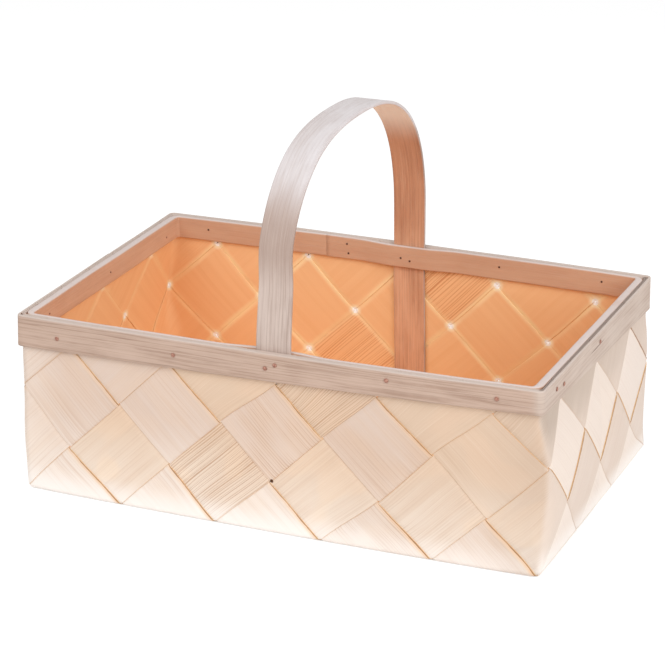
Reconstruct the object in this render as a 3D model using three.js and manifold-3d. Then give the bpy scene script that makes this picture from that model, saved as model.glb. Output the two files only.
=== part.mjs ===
// Mushroom foraging basket: a rectangular basket plaited on the bias from wide wooden splints,
// closed at the rim by two bent hoops, with one bent handle nailed between them.
// Millimetres, +Z up, +X along the long side, origin on the floor under the middle of the base.
import * as THREE from "three";
import { mergeVertices } from "three/addons/utils/BufferGeometryUtils.js";
import Module from "manifold-3d";

// Weave: the base is a whole number of weave squares, each measured corner to corner
const weaveSquareWidth = 90;
const squaresLong = 5;
const squaresShort = 3;
const splintThickness = 0.85;
const splintSpacing = 2.4;
const layerClearance = 0.4;

// Shape of the walls
const rimHeight = 158;
const splintEndClearance = 1.5;
const edgeRadius = 5;
const tipRadius = 3.5;
const tautCornerRadius = 5;
const fullCornerRadius = 16;
const longWallBowDepth = 3.9;
const longWallSpreadDepth = 2;
const longWallBulgeDepth = 1.5;
const longWallBulgePower = 0.86;
const endWallSpreadDepth = 3;
const endWallBulgeDepth = 5;

// Rim hoops
const outerHoopHeight = 26.5;
const outerHoopNarrowHeight = 20;
const outerHoopThickness = 2;
const outerHoopCornerRadius = 5;
const outerHoopSideGap = 1.8;
const innerHoopHeight = 21.5;
const innerHoopThickness = 3.4;
const innerHoopEndThickness = 6.4;
const innerHoopCornerClearance = 2;
const lapLength = 48;
const lapTipThickness = 0.6;
const lapGap = 0.3;
const outerLapShare = 0.52;
const innerLapShare = 0.61;
const swellRunLength = 34;

// Handle
const handleWidth = 30;
const legWidth = 26;
const handleThickness = 3;
const handleMiddleOffset = 7.3;
const handleSkewOffset = 1.3;
const handleTop = 321;
const archHeight = 131;
const legFootGap = 4;
const backArchPower = 2.56;
const frontArchPower = 2.32;

// Nails
const nailShankDiameter = 1.7;
const nailHeadDiameter = 3.8;
const nailHeadThickness = 0.8;
const nailTipLength = 0.5;

// Fits
const seatClearance = 0.3;
const nailHoleClearance = 0.2;
const cutOverrunLength = 2;

// How finely curves are divided
const wallLevels = 8;
const hoopLongSteps = 32;
const hoopShortSteps = 4;
const hoopCornerSteps = 4;
const archSteps = 12;
const legSteps = 6;
const nailSides = 8;

// Nail places: shares of the half length of a side, and of the outer hoop's height from its top
const frontNailShares = [[-0.858, 0.59], [-0.372, 0.51], [0.458, 0.3], [0.862, 0.39]];
const backNailShares = [[0.84, 0.27], [0.42, 0.25], [-0.227, 0.12], [-0.221, 0.45], [-0.84, 0.22]];
const rightNailShares = [[-0.806, 0.33], [-0.68, 0.41], [-0.015, 0.31]];
const leftNailShares = [[0.8, 0.36], [0.02, 0.32], [-0.76, 0.41]];

// Nails through a handle leg: shares of the leg's width, and of the outer hoop's height
const frontLegNailShares = [[-0.3, 0.48], [0.03, 0.335]];
const backLegNailShares = [[-0.22, 0.335], [0.11, 0.41]];

const baseLength = squaresLong * weaveSquareWidth;
const baseDepth = squaresShort * weaveSquareWidth;
const half = { x: baseLength / 2, y: baseDepth / 2 };
const wallHalf = splintThickness + layerClearance / 2;
const wallRise = rimHeight - wallHalf;
const outerHoopLow = rimHeight - outerHoopHeight;

const { clamp, lerp, smoothstep } = THREE.MathUtils;
const woodFinish = (color, roughness) => new THREE.MeshStandardMaterial({ color, roughness, metalness: 0 });
const splintWood = woodFinish(0xebd7be, 0.62);
const hoopWood = woodFinish(0xcdb9a5, 0.7);
const handleWood = woodFinish(0xcdc3be, 0.66);
const nailSteel = new THREE.MeshStandardMaterial({ color: 0x8a6e58, roughness: 0.5, metalness: 0.8 });

// Closed meshes as solids, for cutting nail holes

const wasm = await Module();
wasm.setup();

const closedMesh = (vertices, triangles) => {
  const geometry = new THREE.BufferGeometry();
  geometry.setAttribute("position", new THREE.Float32BufferAttribute(vertices, 3));
  geometry.setIndex(triangles);
  return geometry;
};

const solidOf = (geometry) => {
  const bare = geometry.clone();
  bare.deleteAttribute("normal");
  bare.deleteAttribute("uv");
  const merged = mergeVertices(bare);
  const vertProperties = merged.attributes.position.array;
  const triVerts = new Uint32Array(merged.index.array);
  return new wasm.Manifold(new wasm.Mesh({ numProp: 3, vertProperties, triVerts }));
};

const named = (name, solid, material) => {
  const { vertProperties, triVerts } = solid.getMesh();
  const geometry = closedMesh(vertProperties, Array.from(triVerts));
  geometry.computeVertexNormals();
  const mesh = new THREE.Mesh(geometry, material);
  mesh.name = name;
  return mesh;
};

// The basket's surface

// How far a long wall bows out at a place along it and a height
const bowAt = (x, height) => {
  const rise = clamp(height / wallRise, 0, 1);
  const middle = 1 - clamp(Math.abs(x) / half.x, 0, 1) ** 2;
  return longWallBowDepth * middle * rise * (2 - rise);
};

// Both kinds of wall bulge between the base and the outer hoop, which draws them in
const bulgeRise = outerHoopLow - wallHalf;
const bulgeShareAt = (height, power) => {
  const rise = clamp(height / bulgeRise, 0, 1);
  return Math.max(Math.sin(Math.PI * rise ** power), 0);
};

// How far a long wall stands out beyond the rim: spread at the base, and bulged below half height
const longWallOutAt = (height) => {
  const spread = longWallSpreadDepth * (1 - clamp(height / bulgeRise, 0, 1));
  return spread + longWallBulgeDepth * bulgeShareAt(height, longWallBulgePower);
};

// How far an end wall stands out: spread alike all the way up, and bulged from nothing at its taut
// corner to most at its full one. The front right and back left corners are the full ones.
const endWallOutAt = (sharp) => {
  const fullness = 1 - (sharp.x * sharp.y) / (half.x * half.y);
  return endWallSpreadDepth + endWallBulgeDepth * fullness * bulgeShareAt(sharp.z, 1);
};

// Fold radius: tight at the base's tips and wherever splints cross on a corner, soft along the base's
// edges, and softest where a splint bends round a full corner
const foldRadius = (x, y, height) => {
  const run = weaveSquareWidth / 2;
  const fromTip = Math.max(half.x - Math.abs(x), half.y - Math.abs(y));
  const alongEdge = smoothstep(fromTip, 0, run) * (1 - smoothstep(height, 0, run));
  const rise = clamp(height / wallRise, 0, 1);
  const upCorner = Math.sin((Math.PI * height) / weaveSquareWidth) ** 2 * (1 - rise ** 2);
  const corner = x * y < 0 ? fullCornerRadius : tautCornerRadius;
  return tipRadius + (edgeRadius - tipRadius) * alongEdge + (corner - tipRadius) * upCorner;
};

// Takes a point of the sharp box onto the rounded basket, an offset outside its middle surface
const onBasket = (sharp, offset) => {
  const radius = foldRadius(sharp.x, sharp.y, sharp.z);
  const point = new THREE.Vector3(
    clamp(sharp.x, radius - half.x, half.x - radius),
    clamp(sharp.y, radius - half.y, half.y - radius),
    Math.max(sharp.z, radius),
  );
  const turned = sharp.clone().sub(point).toArray();
  const outward = new THREE.Vector3(...turned.map((part) => Math.tan(((part / radius) * Math.PI) / 4)));
  point.addScaledVector(outward.normalize(), radius + offset);
  point.x += (endWallOutAt(sharp) * sharp.x) / half.x;
  point.y += (longWallOutAt(sharp.z) * sharp.y) / half.y + Math.sign(sharp.y) * bowAt(sharp.x, sharp.z);
  point.z += wallHalf;
  return point;
};

// Splints

// The base's edges: how far a flat point lies past each one, and the side of the box beyond it
const edges = {
  right: { past: (p) => p.x - baseLength, across: "x", along: "y", way: 1 },
  left: { past: (p) => -p.x, across: "x", along: "y", way: -1 },
  back: { past: (p) => p.y - baseDepth, across: "y", along: "x", way: 1 },
  front: { past: (p) => -p.y, across: "y", along: "x", way: -1 },
};

// Folds a flat point up over the edge that it has passed, and round the corner beside that edge
const onSharpBox = (flat, ends) => {
  const point = new THREE.Vector3(flat.x - half.x, flat.y - half.y, 0);
  const edge = ends.map(([end]) => edges[end]).find(({ past }) => past(flat) > 0);
  if (!edge) return point;
  const { across, along, way } = edge;
  const beyond = Math.max(Math.abs(point[along]) - half[along], 0);
  point[along] -= Math.sign(point[along]) * beyond;
  point[across] = way * (half[across] - beyond);
  point.z = edge.past(flat);
  return point;
};

// Cuts a flat sheet of convex facets along the line where side(point) is zero
const cutAlong = (sheet, side) => {
  const hair = splintSpacing / 1e6;
  const sides = sheet.points.map(side);
  const crossings = new Map();
  const crossing = (a, b) => {
    const key = `${Math.min(a, b)} ${Math.max(a, b)}`;
    if (!crossings.has(key)) {
      const share = sides[a] / (sides[a] - sides[b]);
      crossings.set(key, sheet.points.length);
      sheet.points.push(sheet.points[a].clone().lerp(sheet.points[b], share));
      sides.push(0);
    }
    return crossings.get(key);
  };
  const facets = [];
  for (const facet of sheet.facets) {
    const near = [];
    const far = [];
    facet.forEach((a, at) => {
      const b = facet[(at + 1) % facet.length];
      if (sides[a] < hair) near.push(a);
      if (sides[a] > -hair) far.push(a);
      if (Math.min(sides[a], sides[b]) < -hair && Math.max(sides[a], sides[b]) > hair) {
        near.push(crossing(a, b));
        far.push(crossing(a, b));
      }
    });
    if (near.some((a) => sides[a] < -hair)) facets.push(near);
    if (far.some((a) => sides[a] > hair)) facets.push(far);
  }
  sheet.facets = facets;
};

// A splint lies outside its neighbours at one square and inside them at the next, and steps
// between the two in the spacing
const halfStep = splintSpacing / Math.SQRT2;
const layerAt = (along, isOutside) => {
  const level = (splintThickness + layerClearance) / 2;
  const line = Math.round(along / weaveSquareWidth);
  const before = isOutside(line - 1) ? level : -level;
  const after = isOutside(line) ? level : -level;
  const share = (along - line * weaveSquareWidth + halfStep) / (2 * halfStep);
  return lerp(before, after, clamp(share, 0, 1));
};

// One splint, which crosses the base at 45 degrees and climbs a wall at each end. Each of its ends
// names the edge that it folds over, and the edge past the corner that it may wrap round.
const splint = (index, ends, alongOf, flatPoint, isOutside) => {
  const reach = baseLength + baseDepth + 2 * rimHeight;
  const low = index * weaveSquareWidth + halfStep;
  const high = (index + 1) * weaveSquareWidth - halfStep;
  const strip = [[-reach, low], [reach, low], [reach, high], [-reach, high]];
  const outline = strip.map(([along, across]) => flatPoint(along, across));
  const facet = THREE.ShapeUtils.isClockWise(outline) ? [3, 2, 1, 0] : [0, 1, 2, 3];
  const sheet = { points: outline, facets: [facet] };

  // Trimmed under the rim, then divided at the folds, up the walls and at each step of the weave
  const top = wallRise - splintEndClearance;
  for (const [end] of ends) {
    const { past } = edges[end];
    cutAlong(sheet, (p) => past(p) - top);
    sheet.facets = sheet.facets.filter((facet) => facet.some((a) => past(sheet.points[a]) < top - halfStep));
  }
  const levels = Array.from({ length: wallLevels }, (_, at) => ((at + 1) / wallLevels) * bulgeRise);
  const folds = [-edgeRadius, -edgeRadius / 2, 0, edgeRadius / 2, edgeRadius];
  for (const [end, beside] of ends) {
    const corner = edges[end].way * edges[beside].way < 0 ? fullCornerRadius : tautCornerRadius;
    const between = (corner + tipRadius) / 2;
    const turns = [-corner, -between, -tipRadius, 0, tipRadius, between, corner];
    for (const line of [...folds, ...levels]) cutAlong(sheet, (p) => edges[end].past(p) - line);
    for (const line of turns) cutAlong(sheet, (p) => edges[beside].past(p) - line);
  }
  const alongs = sheet.facets.flat().map((a) => alongOf(sheet.points[a]) / weaveSquareWidth);
  for (let line = Math.floor(Math.min(...alongs)); line <= Math.ceil(Math.max(...alongs)); line += 1) {
    cutAlong(sheet, (p) => alongOf(p) - line * weaveSquareWidth + halfStep);
    cutAlong(sheet, (p) => alongOf(p) - line * weaveSquareWidth - halfStep);
  }

  // Outer and inner face, joined along the splint's border
  const vertices = sheet.points.flatMap((flat) => {
    const sharp = onSharpBox(flat, ends);
    const offset = layerAt(alongOf(flat), isOutside);
    const faces = [offset + splintThickness / 2, offset - splintThickness / 2];
    return faces.flatMap((face) => onBasket(sharp, face).toArray());
  });
  const outer = (a) => 2 * a;
  const inner = (a) => 2 * a + 1;
  const triangles = [];
  const border = new Map();
  for (const facet of sheet.facets) {
    for (let at = 1; at < facet.length - 1; at += 1) {
      const [a, b, c] = [facet[0], facet[at], facet[at + 1]];
      triangles.push(outer(a), outer(c), outer(b), inner(a), inner(b), inner(c));
    }
    facet.forEach((a, at) => {
      const b = facet[(at + 1) % facet.length];
      if (!border.delete(`${b} ${a}`)) border.set(`${a} ${b}`, [a, b]);
    });
  }
  for (const [a, b] of border.values()) {
    triangles.push(outer(a), outer(b), inner(b), outer(a), inner(b), inner(a));
  }
  return solidOf(closedMesh(vertices, triangles));
};

// Splints that lean right across the base, seen from above with +X to the right
const rightLeaning = (index) => {
  const ends = [
    index >= squaresLong - squaresShort ? ["right", "back"] : ["back", "right"],
    index >= 0 ? ["front", "left"] : ["left", "front"],
  ];
  const flatPoint = (along, across) => new THREE.Vector2((along + across) / 2, (along - across) / 2);
  const isOutside = (square) => (square - index) % 2 === 0;
  return splint(index, ends, (p) => p.x + p.y, flatPoint, isOutside);
};

// Splints that lean left
const leftLeaning = (index) => {
  const ends = [
    index >= squaresLong ? ["right", "front"] : ["front", "right"],
    index >= squaresShort ? ["back", "left"] : ["left", "back"],
  ];
  const flatPoint = (along, across) => new THREE.Vector2((across + along) / 2, (across - along) / 2);
  const isOutside = (square) => (square - index) % 2 !== 0;
  return splint(index, ends, (p) => p.x - p.y, flatPoint, isOutside);
};

// Bent strips: the rim hoops lie on edge round the wall, and the handle stands in an arch

// A strip between two matching rows of points that run anticlockwise. Place takes a point of a row
// to one border of the strip (share 0) or the other (share 1).
const bentStrip = (innerRow, outerRow, place) => {
  const corner = (station, at) => 4 * station + (at % 4);
  const vertices = innerRow.flatMap((inside, station) => {
    const outside = outerRow[station];
    const section = [place(inside, 0), place(inside, 1), place(outside, 1), place(outside, 0)];
    return section.flatMap((point) => point.toArray());
  });
  const last = innerRow.length - 1;
  const triangles = [0, 3, 2, 0, 2, 1, ...[0, 1, 2, 0, 2, 3].map((at) => corner(last, at))];
  for (let station = 0; station < last; station += 1)
    for (let at = 0; at < 4; at += 1) {
      const [a, b] = [corner(station, at), corner(station, at + 1)];
      const [c, d] = [corner(station + 1, at + 1), corner(station + 1, at)];
      triangles.push(a, b, c, a, c, d);
    }
  return solidOf(closedMesh(vertices, triangles));
};

// How far the inner hoop swells inwards to pass over a handle leg on the front (-1) or back (+1)
const legCentre = (way) => handleMiddleOffset + (way * handleSkewOffset) / 2;
const swellAt = (x, way) => {
  const fromLeg = Math.abs(x - legCentre(way)) - legWidth / 2 - seatClearance;
  return (handleThickness + seatClearance) * (1 - smoothstep(fromLeg, 0, swellRunLength));
};

// A face of a hoop, an offset outside the wall's middle on each axis: its sides and corners,
// anticlockwise
const hoopFace = (offset, radius, swells) => {
  const reach = { x: half.x + offset.x - radius, y: half.y + offset.y - radius };
  const longSide = (x, way) => {
    const swell = swells ? swellAt(x, way) : 0;
    return new THREE.Vector2(x, way * (half.y + offset.y + bowAt(x, wallRise) - swell));
  };
  const turn = (wayX, wayY, from) => (share) => {
    const angle = from + (share * Math.PI) / 2;
    const centre = new THREE.Vector2(wayX * reach.x, wayY * reach.y);
    return centre.add(new THREE.Vector2(Math.cos(angle), Math.sin(angle)).multiplyScalar(radius));
  };
  return {
    right: (share) => new THREE.Vector2(half.x + offset.x, lerp(-reach.y, reach.y, share)),
    backRight: turn(1, 1, 0),
    back: (share) => longSide(lerp(reach.x, -reach.x, share), 1),
    backLeft: turn(-1, 1, Math.PI / 2),
    left: (share) => new THREE.Vector2(-half.x - offset.x, lerp(reach.y, -reach.y, share)),
    frontLeft: turn(-1, -1, Math.PI),
    front: (share) => longSide(lerp(-reach.x, reach.x, share), -1),
    frontRight: turn(1, -1, -Math.PI / 2),
  };
};

// A hoop runs once round the rim and a little further, and its two ends taper into a scarfed lap.
// The start lies inside the lap and the end outside it.
const hoop = (innerFace, outerFace, thickness, lapSide, lapShare, lowAt) => {
  const sideLength = ["front", "back"].includes(lapSide) ? baseLength : baseDepth;
  const lap = lapLength / sideLength;
  const gap = lapGap / sideLength;
  const [from, to] = [lapShare - lap / 2, lapShare + lap / 2];
  const names = Object.keys(innerFace);
  const shares = (name) => {
    const isTurn = !["right", "back", "left", "front"].includes(name);
    const isLong = ["front", "back"].includes(name);
    const steps = isTurn ? hoopCornerSteps : isLong ? hoopLongSteps : hoopShortSteps;
    const all = Array.from({ length: steps + 1 }, (_, step) => step / steps);
    return isTurn ? all.slice(1, -1) : all;
  };
  const fullDepth = thickness - lapTipThickness - lapGap;
  const startDepth = (share) => lerp(lapTipThickness, fullDepth, (share - from) / lap) / thickness;
  const stations = [];
  const add = (name, share, inside, outside) => stations.push({ name, share, inside, outside });
  const clear = lapTipThickness / sideLength;
  const insideLap = shares(lapSide).filter((share) => share > from + clear && share < to - clear);
  const lapShares = [from, ...insideLap, to];
  const afterLap = shares(lapSide).filter((share) => share > to + 2 * gap + clear);
  const beforeLap = shares(lapSide).filter((share) => share < from - 2 * gap - clear);
  for (const share of lapShares) add(lapSide, share, 0, startDepth(share));
  add(lapSide, to + gap, 0, startDepth(to));
  add(lapSide, to + 2 * gap, 0, 1);
  for (const share of afterLap) add(lapSide, share, 0, 1);
  const first = names.indexOf(lapSide);
  for (let at = 1; at < names.length; at += 1) {
    const name = names[(first + at) % names.length];
    for (const share of shares(name)) add(name, share, 0, 1);
  }
  for (const share of beforeLap) add(lapSide, share, 0, 1);
  add(lapSide, from - 2 * gap, 0, 1);
  add(lapSide, from - gap, startDepth(from) + lapGap / thickness, 1);
  for (const share of lapShares) add(lapSide, share, startDepth(share) + lapGap / thickness, 1);
  const row = (side) =>
    stations.map((station) => {
      const inside = innerFace[station.name](station.share);
      return inside.lerp(outerFace[station.name](station.share), station[side]);
    });
  const place = (p, share) => new THREE.Vector3(p.x, p.y, lerp(lowAt(p), rimHeight, share));
  return bentStrip(row("inside"), row("outside"), place);
};

// Outer hoop: close to the end walls and a little off the long ones, and narrowest at the front right
const outerHoopInside = {
  x: endWallSpreadDepth + wallHalf + seatClearance,
  y: wallHalf + outerHoopSideGap,
};
const outerHoopOutside = {
  x: outerHoopInside.x + outerHoopThickness,
  y: outerHoopInside.y + outerHoopThickness,
};
const outerHoopLowAt = (p) => {
  const fromLeft = clamp((p.x / half.x + 1) / 2, 0, 1);
  const fromBack = clamp((1 - p.y / half.y) / 2, 0, 1);
  return outerHoopLow + (outerHoopHeight - outerHoopNarrowHeight) * fromLeft * fromBack;
};
const outerHoopInnerCorner = Math.max(outerHoopCornerRadius - outerHoopThickness, lapTipThickness);
const outerHoopInner = hoopFace(outerHoopInside, outerHoopInnerCorner, false);
const outerHoopOuter = hoopFace(outerHoopOutside, outerHoopCornerRadius, false);

// Inner hoop: against the wall's inside, and over the handle's legs
const innerHoopLow = rimHeight - innerHoopHeight;
const innerHoopOutside = {
  x: endWallSpreadDepth - wallHalf - seatClearance,
  y: -wallHalf - seatClearance,
};
const innerHoopInside = {
  x: innerHoopOutside.x - innerHoopEndThickness,
  y: innerHoopOutside.y - innerHoopThickness,
};
const innerHoopCorner = foldRadius(half.x, -half.y, innerHoopLow - wallHalf) + innerHoopCornerClearance;
const innerHoopInnerCorner = Math.max(innerHoopCorner - innerHoopThickness, lapTipThickness);
const innerHoopOuter = hoopFace(innerHoopOutside, innerHoopCorner, true);
const innerHoopInner = hoopFace(innerHoopInside, innerHoopInnerCorner, true);

const outerHoop = hoop(
  outerHoopInner,
  outerHoopOuter,
  outerHoopThickness,
  "left",
  outerLapShare,
  outerHoopLowAt,
);
const innerHoop = hoop(
  innerHoopInner,
  innerHoopOuter,
  innerHoopThickness,
  "back",
  innerLapShare,
  () => innerHoopLow,
);

// Handle: each leg follows the inside of its wall, then stands up into the arch

// Middle of a leg's thickness at a height above the floor, measured from the basket's middle
const legEdge = Math.abs(handleMiddleOffset) + handleSkewOffset / 2 + legWidth / 2;
const legReach = (level) => {
  const height = Math.min(level - wallHalf, wallRise);
  const wall = half.y + bowAt(legEdge, height) + longWallOutAt(height);
  return wall - wallHalf - seatClearance - handleThickness / 2;
};
const legFoot = 2 * wallHalf + edgeRadius + legFootGap;
const archFoot = handleTop - handleThickness / 2 - archHeight;
const handleMiddle = (way, power) => {
  const leg = Array.from({ length: legSteps }, (_, step) => {
    const level = lerp(legFoot, rimHeight, step / (legSteps - 1));
    return new THREE.Vector2(way * legReach(level), level);
  });
  const arch = Array.from({ length: archSteps + 1 }, (_, step) => {
    const angle = ((step / archSteps) * Math.PI) / 2;
    const out = Math.max(Math.cos(angle), 0) ** (2 / power);
    const up = Math.sin(angle) ** (2 / power);
    return new THREE.Vector2(way * legReach(rimHeight) * out, archFoot + archHeight * up);
  });
  return [...leg, ...arch];
};
const handleRow = [...handleMiddle(1, backArchPower), ...handleMiddle(-1, frontArchPower).reverse().slice(1)];
const handleFace = (offset) =>
  handleRow.map((point, at) => {
    const before = handleRow[Math.max(at - 1, 0)];
    const after = handleRow[Math.min(at + 1, handleRow.length - 1)];
    const travel = after.clone().sub(before).normalize();
    return new THREE.Vector2(point.x + travel.y * offset, point.y - travel.x * offset);
  });
const skewPerDepth = handleSkewOffset / (2 * legReach(rimHeight));
const handle = bentStrip(
  handleFace(-handleThickness / 2),
  handleFace(handleThickness / 2),
  (p, share) => {
    const rise = clamp((p.y - rimHeight) / archHeight, 0, 1);
    const across = (share - 0.5) * lerp(legWidth, handleWidth, Math.sin((rise * Math.PI) / 2));
    return new THREE.Vector3(handleMiddleOffset + across + skewPerDepth * p.x, p.x, p.y);
  },
);

// Nails: driven from outside through both hoops and whatever lies between them

// A nail's place on a side, and where the hoops' outermost and innermost faces lie there
const sideNails = (side, way, shares) =>
  shares.map(([alongShare, dropShare]) => {
    const isLong = side === "front" || side === "back";
    const along = alongShare * (isLong ? half.x : half.y);
    return { side, way, isLong, along, level: rimHeight - dropShare * outerHoopHeight };
  });
const legNails = (side, way, shares) =>
  shares.map(([acrossShare, dropShare]) => {
    const along = legCentre(way) + acrossShare * legWidth;
    return { side, way, isLong: true, along, level: rimHeight - dropShare * outerHoopHeight };
  });
const nails = [
  ...sideNails("front", -1, frontNailShares),
  ...legNails("front", -1, frontLegNailShares),
  ...sideNails("back", 1, backNailShares),
  ...legNails("back", 1, backLegNailShares),
  ...sideNails("right", 1, rightNailShares),
  ...sideNails("left", -1, leftNailShares),
];
const nailDepths = ({ isLong, along, way }) => {
  const bow = isLong ? bowAt(along, wallRise) : 0;
  const swell = isLong ? swellAt(along, way) : 0;
  const axis = isLong ? "y" : "x";
  const middle = half[axis] + bow;
  return { outside: middle + outerHoopOutside[axis], inside: middle + innerHoopInside[axis] - swell };
};

// A turned solid on the nail's own axis, from a profile of distances from the basket's middle
const onNailAxis = (profile, { isLong, along, way, level }) => {
  const points = profile.map(([radius, depth]) => new THREE.Vector2(radius, depth));
  const geometry = new THREE.LatheGeometry(points, nailSides);
  const outwards = isLong ? new THREE.Vector3(0, way, 0) : new THREE.Vector3(way, 0, 0);
  geometry.applyQuaternion(new THREE.Quaternion().setFromUnitVectors(new THREE.Vector3(0, 1, 0), outwards));
  geometry.translate(isLong ? along : 0, isLong ? 0 : along, level);
  return solidOf(geometry);
};
const shankRadius = nailShankDiameter / 2;
const headRadius = nailHeadDiameter / 2;
const nailSolid = (nail) => {
  const { outside, inside } = nailDepths(nail);
  const underHead = outside + seatClearance;
  const profile = [
    [0, inside - nailTipLength],
    [shankRadius, inside - nailTipLength],
    [shankRadius, underHead],
    [headRadius, underHead],
    [headRadius, underHead + nailHeadThickness / 2],
    [headRadius / 2, underHead + nailHeadThickness],
    [0, underHead + nailHeadThickness],
  ];
  return onNailAxis(profile, nail);
};
const holeSolid = (nail) => {
  const { outside, inside } = nailDepths(nail);
  const radius = shankRadius + nailHoleClearance;
  const [start, end] = [inside - cutOverrunLength, outside + cutOverrunLength];
  return onNailAxis([[0, start], [radius, start], [radius, end], [0, end]], nail);
};
const nailHoles = nails.map(holeSolid).reduce((all, hole) => all.add(hole));

// The assembly

const basket = new THREE.Group();
const splintCount = squaresLong + squaresShort;
for (let count = 0; count < splintCount; count += 1) {
  const right = rightLeaning(count - squaresShort).subtract(nailHoles);
  const left = leftLeaning(count).subtract(nailHoles);
  basket.add(named(`right_leaning_splint_${count + 1}`, right, splintWood));
  basket.add(named(`left_leaning_splint_${count + 1}`, left, splintWood));
}
basket.add(named("outer_hoop", outerHoop.subtract(nailHoles), hoopWood));
basket.add(named("inner_hoop", innerHoop.subtract(nailHoles), hoopWood));
basket.add(named("handle", handle.subtract(nailHoles), handleWood));
const nailCounts = {};
for (const nail of nails) {
  nailCounts[nail.side] = (nailCounts[nail.side] ?? 0) + 1;
  basket.add(named(`${nail.side}_nail_${nailCounts[nail.side]}`, nailSolid(nail), nailSteel));
}

export default basket;
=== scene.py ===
"""A rectangular foraging basket, plaited from thin wooden splints, with a hooped rim and one bent handle."""

import math
from types import SimpleNamespace

import bpy
import numpy as np
from mathutils import Matrix, Vector


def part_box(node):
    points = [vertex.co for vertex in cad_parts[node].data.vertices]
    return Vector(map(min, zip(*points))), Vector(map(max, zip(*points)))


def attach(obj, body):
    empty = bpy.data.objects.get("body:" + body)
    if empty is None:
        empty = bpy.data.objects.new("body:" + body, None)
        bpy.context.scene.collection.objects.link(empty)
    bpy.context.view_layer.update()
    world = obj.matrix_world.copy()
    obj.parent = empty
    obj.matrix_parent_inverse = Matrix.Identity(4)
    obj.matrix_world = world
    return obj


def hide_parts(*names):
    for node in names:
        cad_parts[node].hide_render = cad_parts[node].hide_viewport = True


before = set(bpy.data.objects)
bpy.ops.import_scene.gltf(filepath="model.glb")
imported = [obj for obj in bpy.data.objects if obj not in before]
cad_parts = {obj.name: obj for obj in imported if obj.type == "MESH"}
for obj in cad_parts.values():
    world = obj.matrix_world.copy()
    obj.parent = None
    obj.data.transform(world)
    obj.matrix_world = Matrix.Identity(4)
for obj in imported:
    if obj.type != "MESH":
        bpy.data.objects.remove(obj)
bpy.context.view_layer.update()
MM = 0.001


# The plaited splints

# The walls and base are one plain weave of sixteen thin strips of pale wood, shaved from the log and
# laid at 45 degrees to the basket's sides. Each crosses the base, folds up at both ends and is held
# at the rim between the two hoops, and some are bent round an upright corner on the way.

WEAVE_SQUARE = 90 * MM
HALF_BASE = np.array([225 * MM, 135 * MM])
WALL_HALF = 1.05 * MM
WALL_RISE = 156.95 * MM
SPLINT_TOP = 156.6 * MM
SPLINT_HALF_GAP = 0.5 * MM
SPLINT_THICKNESS = 0.75 * MM
SPLINT_EDGE = 0.3 * MM
LAYER_SHIFT = 0.66 * MM
CROSSOVER = 3.2 * MM
PILLOW_OUT = 0.5 * MM
PILLOW_IN = 0.25 * MM
PILLOW_FOOT = 25 * MM
PILLOW_TOP = 112 * MM
PILLOW_FADE = 18 * MM
LONG_WALL_BOW = 3.9 * MM
LONG_WALL_SPREAD = 4 * MM
LONG_WALL_FOOT_BOW = 3 * MM
LONG_WALL_FOOT_POWER = 1.5
LONG_WALL_BULGE = 1.5 * MM
LONG_WALL_BULGE_POWER = 0.86
END_WALL_SPREAD = 3 * MM
END_WALL_FOOT = 1 * MM
END_WALL_BULGE = 4.8 * MM
BULGE_RISE = 130.45 * MM
FOLD_RADIUS = 2.4 * MM
TIP_RADIUS = 3.5 * MM
TIP_RUN = 45 * MM
TAUT_CORNER = 4 * MM
FULL_CORNER = 16 * MM
FRONT_CORNER_LIFT = 4 * MM
FRONT_CORNER_LIFT_POWER = 4
RIM_LIFT_LEFT = 4.2 * MM
RIM_LIFT_RIGHT = 1.2 * MM
RIM_LIFT_START = 90 * MM
RIM_LIFT_RISE = 66 * MM
FRONT_LEFT_OUT = 2.4 * MM
FRONT_LEFT_START = (-150 * MM, 60 * MM)
FRONT_LEFT_RUN = (75 * MM, 150 * MM)
FRONT_LEFT_RIM_LOW = 131 * MM
FRONT_LEFT_RIM_RISE = 27 * MM
FRONT_LEFT_RIM_CUT = 0.6
RIGHT_BACK_LEAN = 1.6 * MM
BACK_SAG = 7.5 * MM
BACK_SAG_START = (-135 * MM, -90 * MM)
BACK_SAG_RUN = (360 * MM, 225 * MM)
SLIP_REACH = WEAVE_SQUARE / math.sqrt(2)
SLIP_FOOT = 30 * MM
SLIP_RIM = 138 * MM
SLIP_RIM_RISE = 18 * MM
ROW_STEP = 2 * MM
FINE_ROWS = 6
ACROSS_STEPS = 40
FLAT_SHARE = 0.99
EDGE_INSETS = np.array([0.0, 0.25, 1.0, 3.0])
EDGE_RISES = np.array([0.3, 0.8, 1.0, 1.0])
GRAIN_SHIFT = 1.3
DIAGONAL = math.sqrt(2)

# Where the front wall's crossings have slipped out of true: x, height, then how far sideways and up.
SLIPS = np.array([
    (0, 135, 6, -5), (90, 135, 2, -3), (180, 135, 7, -3), (-45, 90, 2, 0), (-180, 45, -3, -2),
    (90, 45, 1, -2), (180, 45, -3, -3), (-135, 0, -2, 0), (-45, 0, -5, 0), (45, 0, -2, 0), (135, 0, 3, 0),
]) * MM

# Where four splints of the front wall leave a pinhole between them, painted dark as shade.
PINHOLE = (1.4 * MM, -143.1 * MM, 46.9 * MM)

# For each splint by its place: how brown it is, how strong its growth lines are, and their spacing in mm.
RIGHT_LEANING = {
    -3: (0.2, 0.2, 3.1), -2: (0.1, 1.4, 2.3), -1: (0.3, 0.25, 3.4), 0: (0.2, 0.3, 2.9),
    1: (0.1, 0.3, 3.0), 2: (0.0, 0.15, 3.6), 3: (0.8, 0.7, 2.4), 4: (0.9, 0.3, 3.2),
}
LEFT_LEANING = {
    0: (0.3, 0.2, 3.0), 1: (0.6, 1.15, 1.9), 2: (0.4, 0.25, 3.3), 3: (0.1, 0.35, 2.5),
    4: (0.3, 0.2, 3.5), 5: (0.1, 0.25, 2.8), 6: (0.2, 0.35, 2.4), 7: (0.3, 0.2, 3.1),
}


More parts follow.
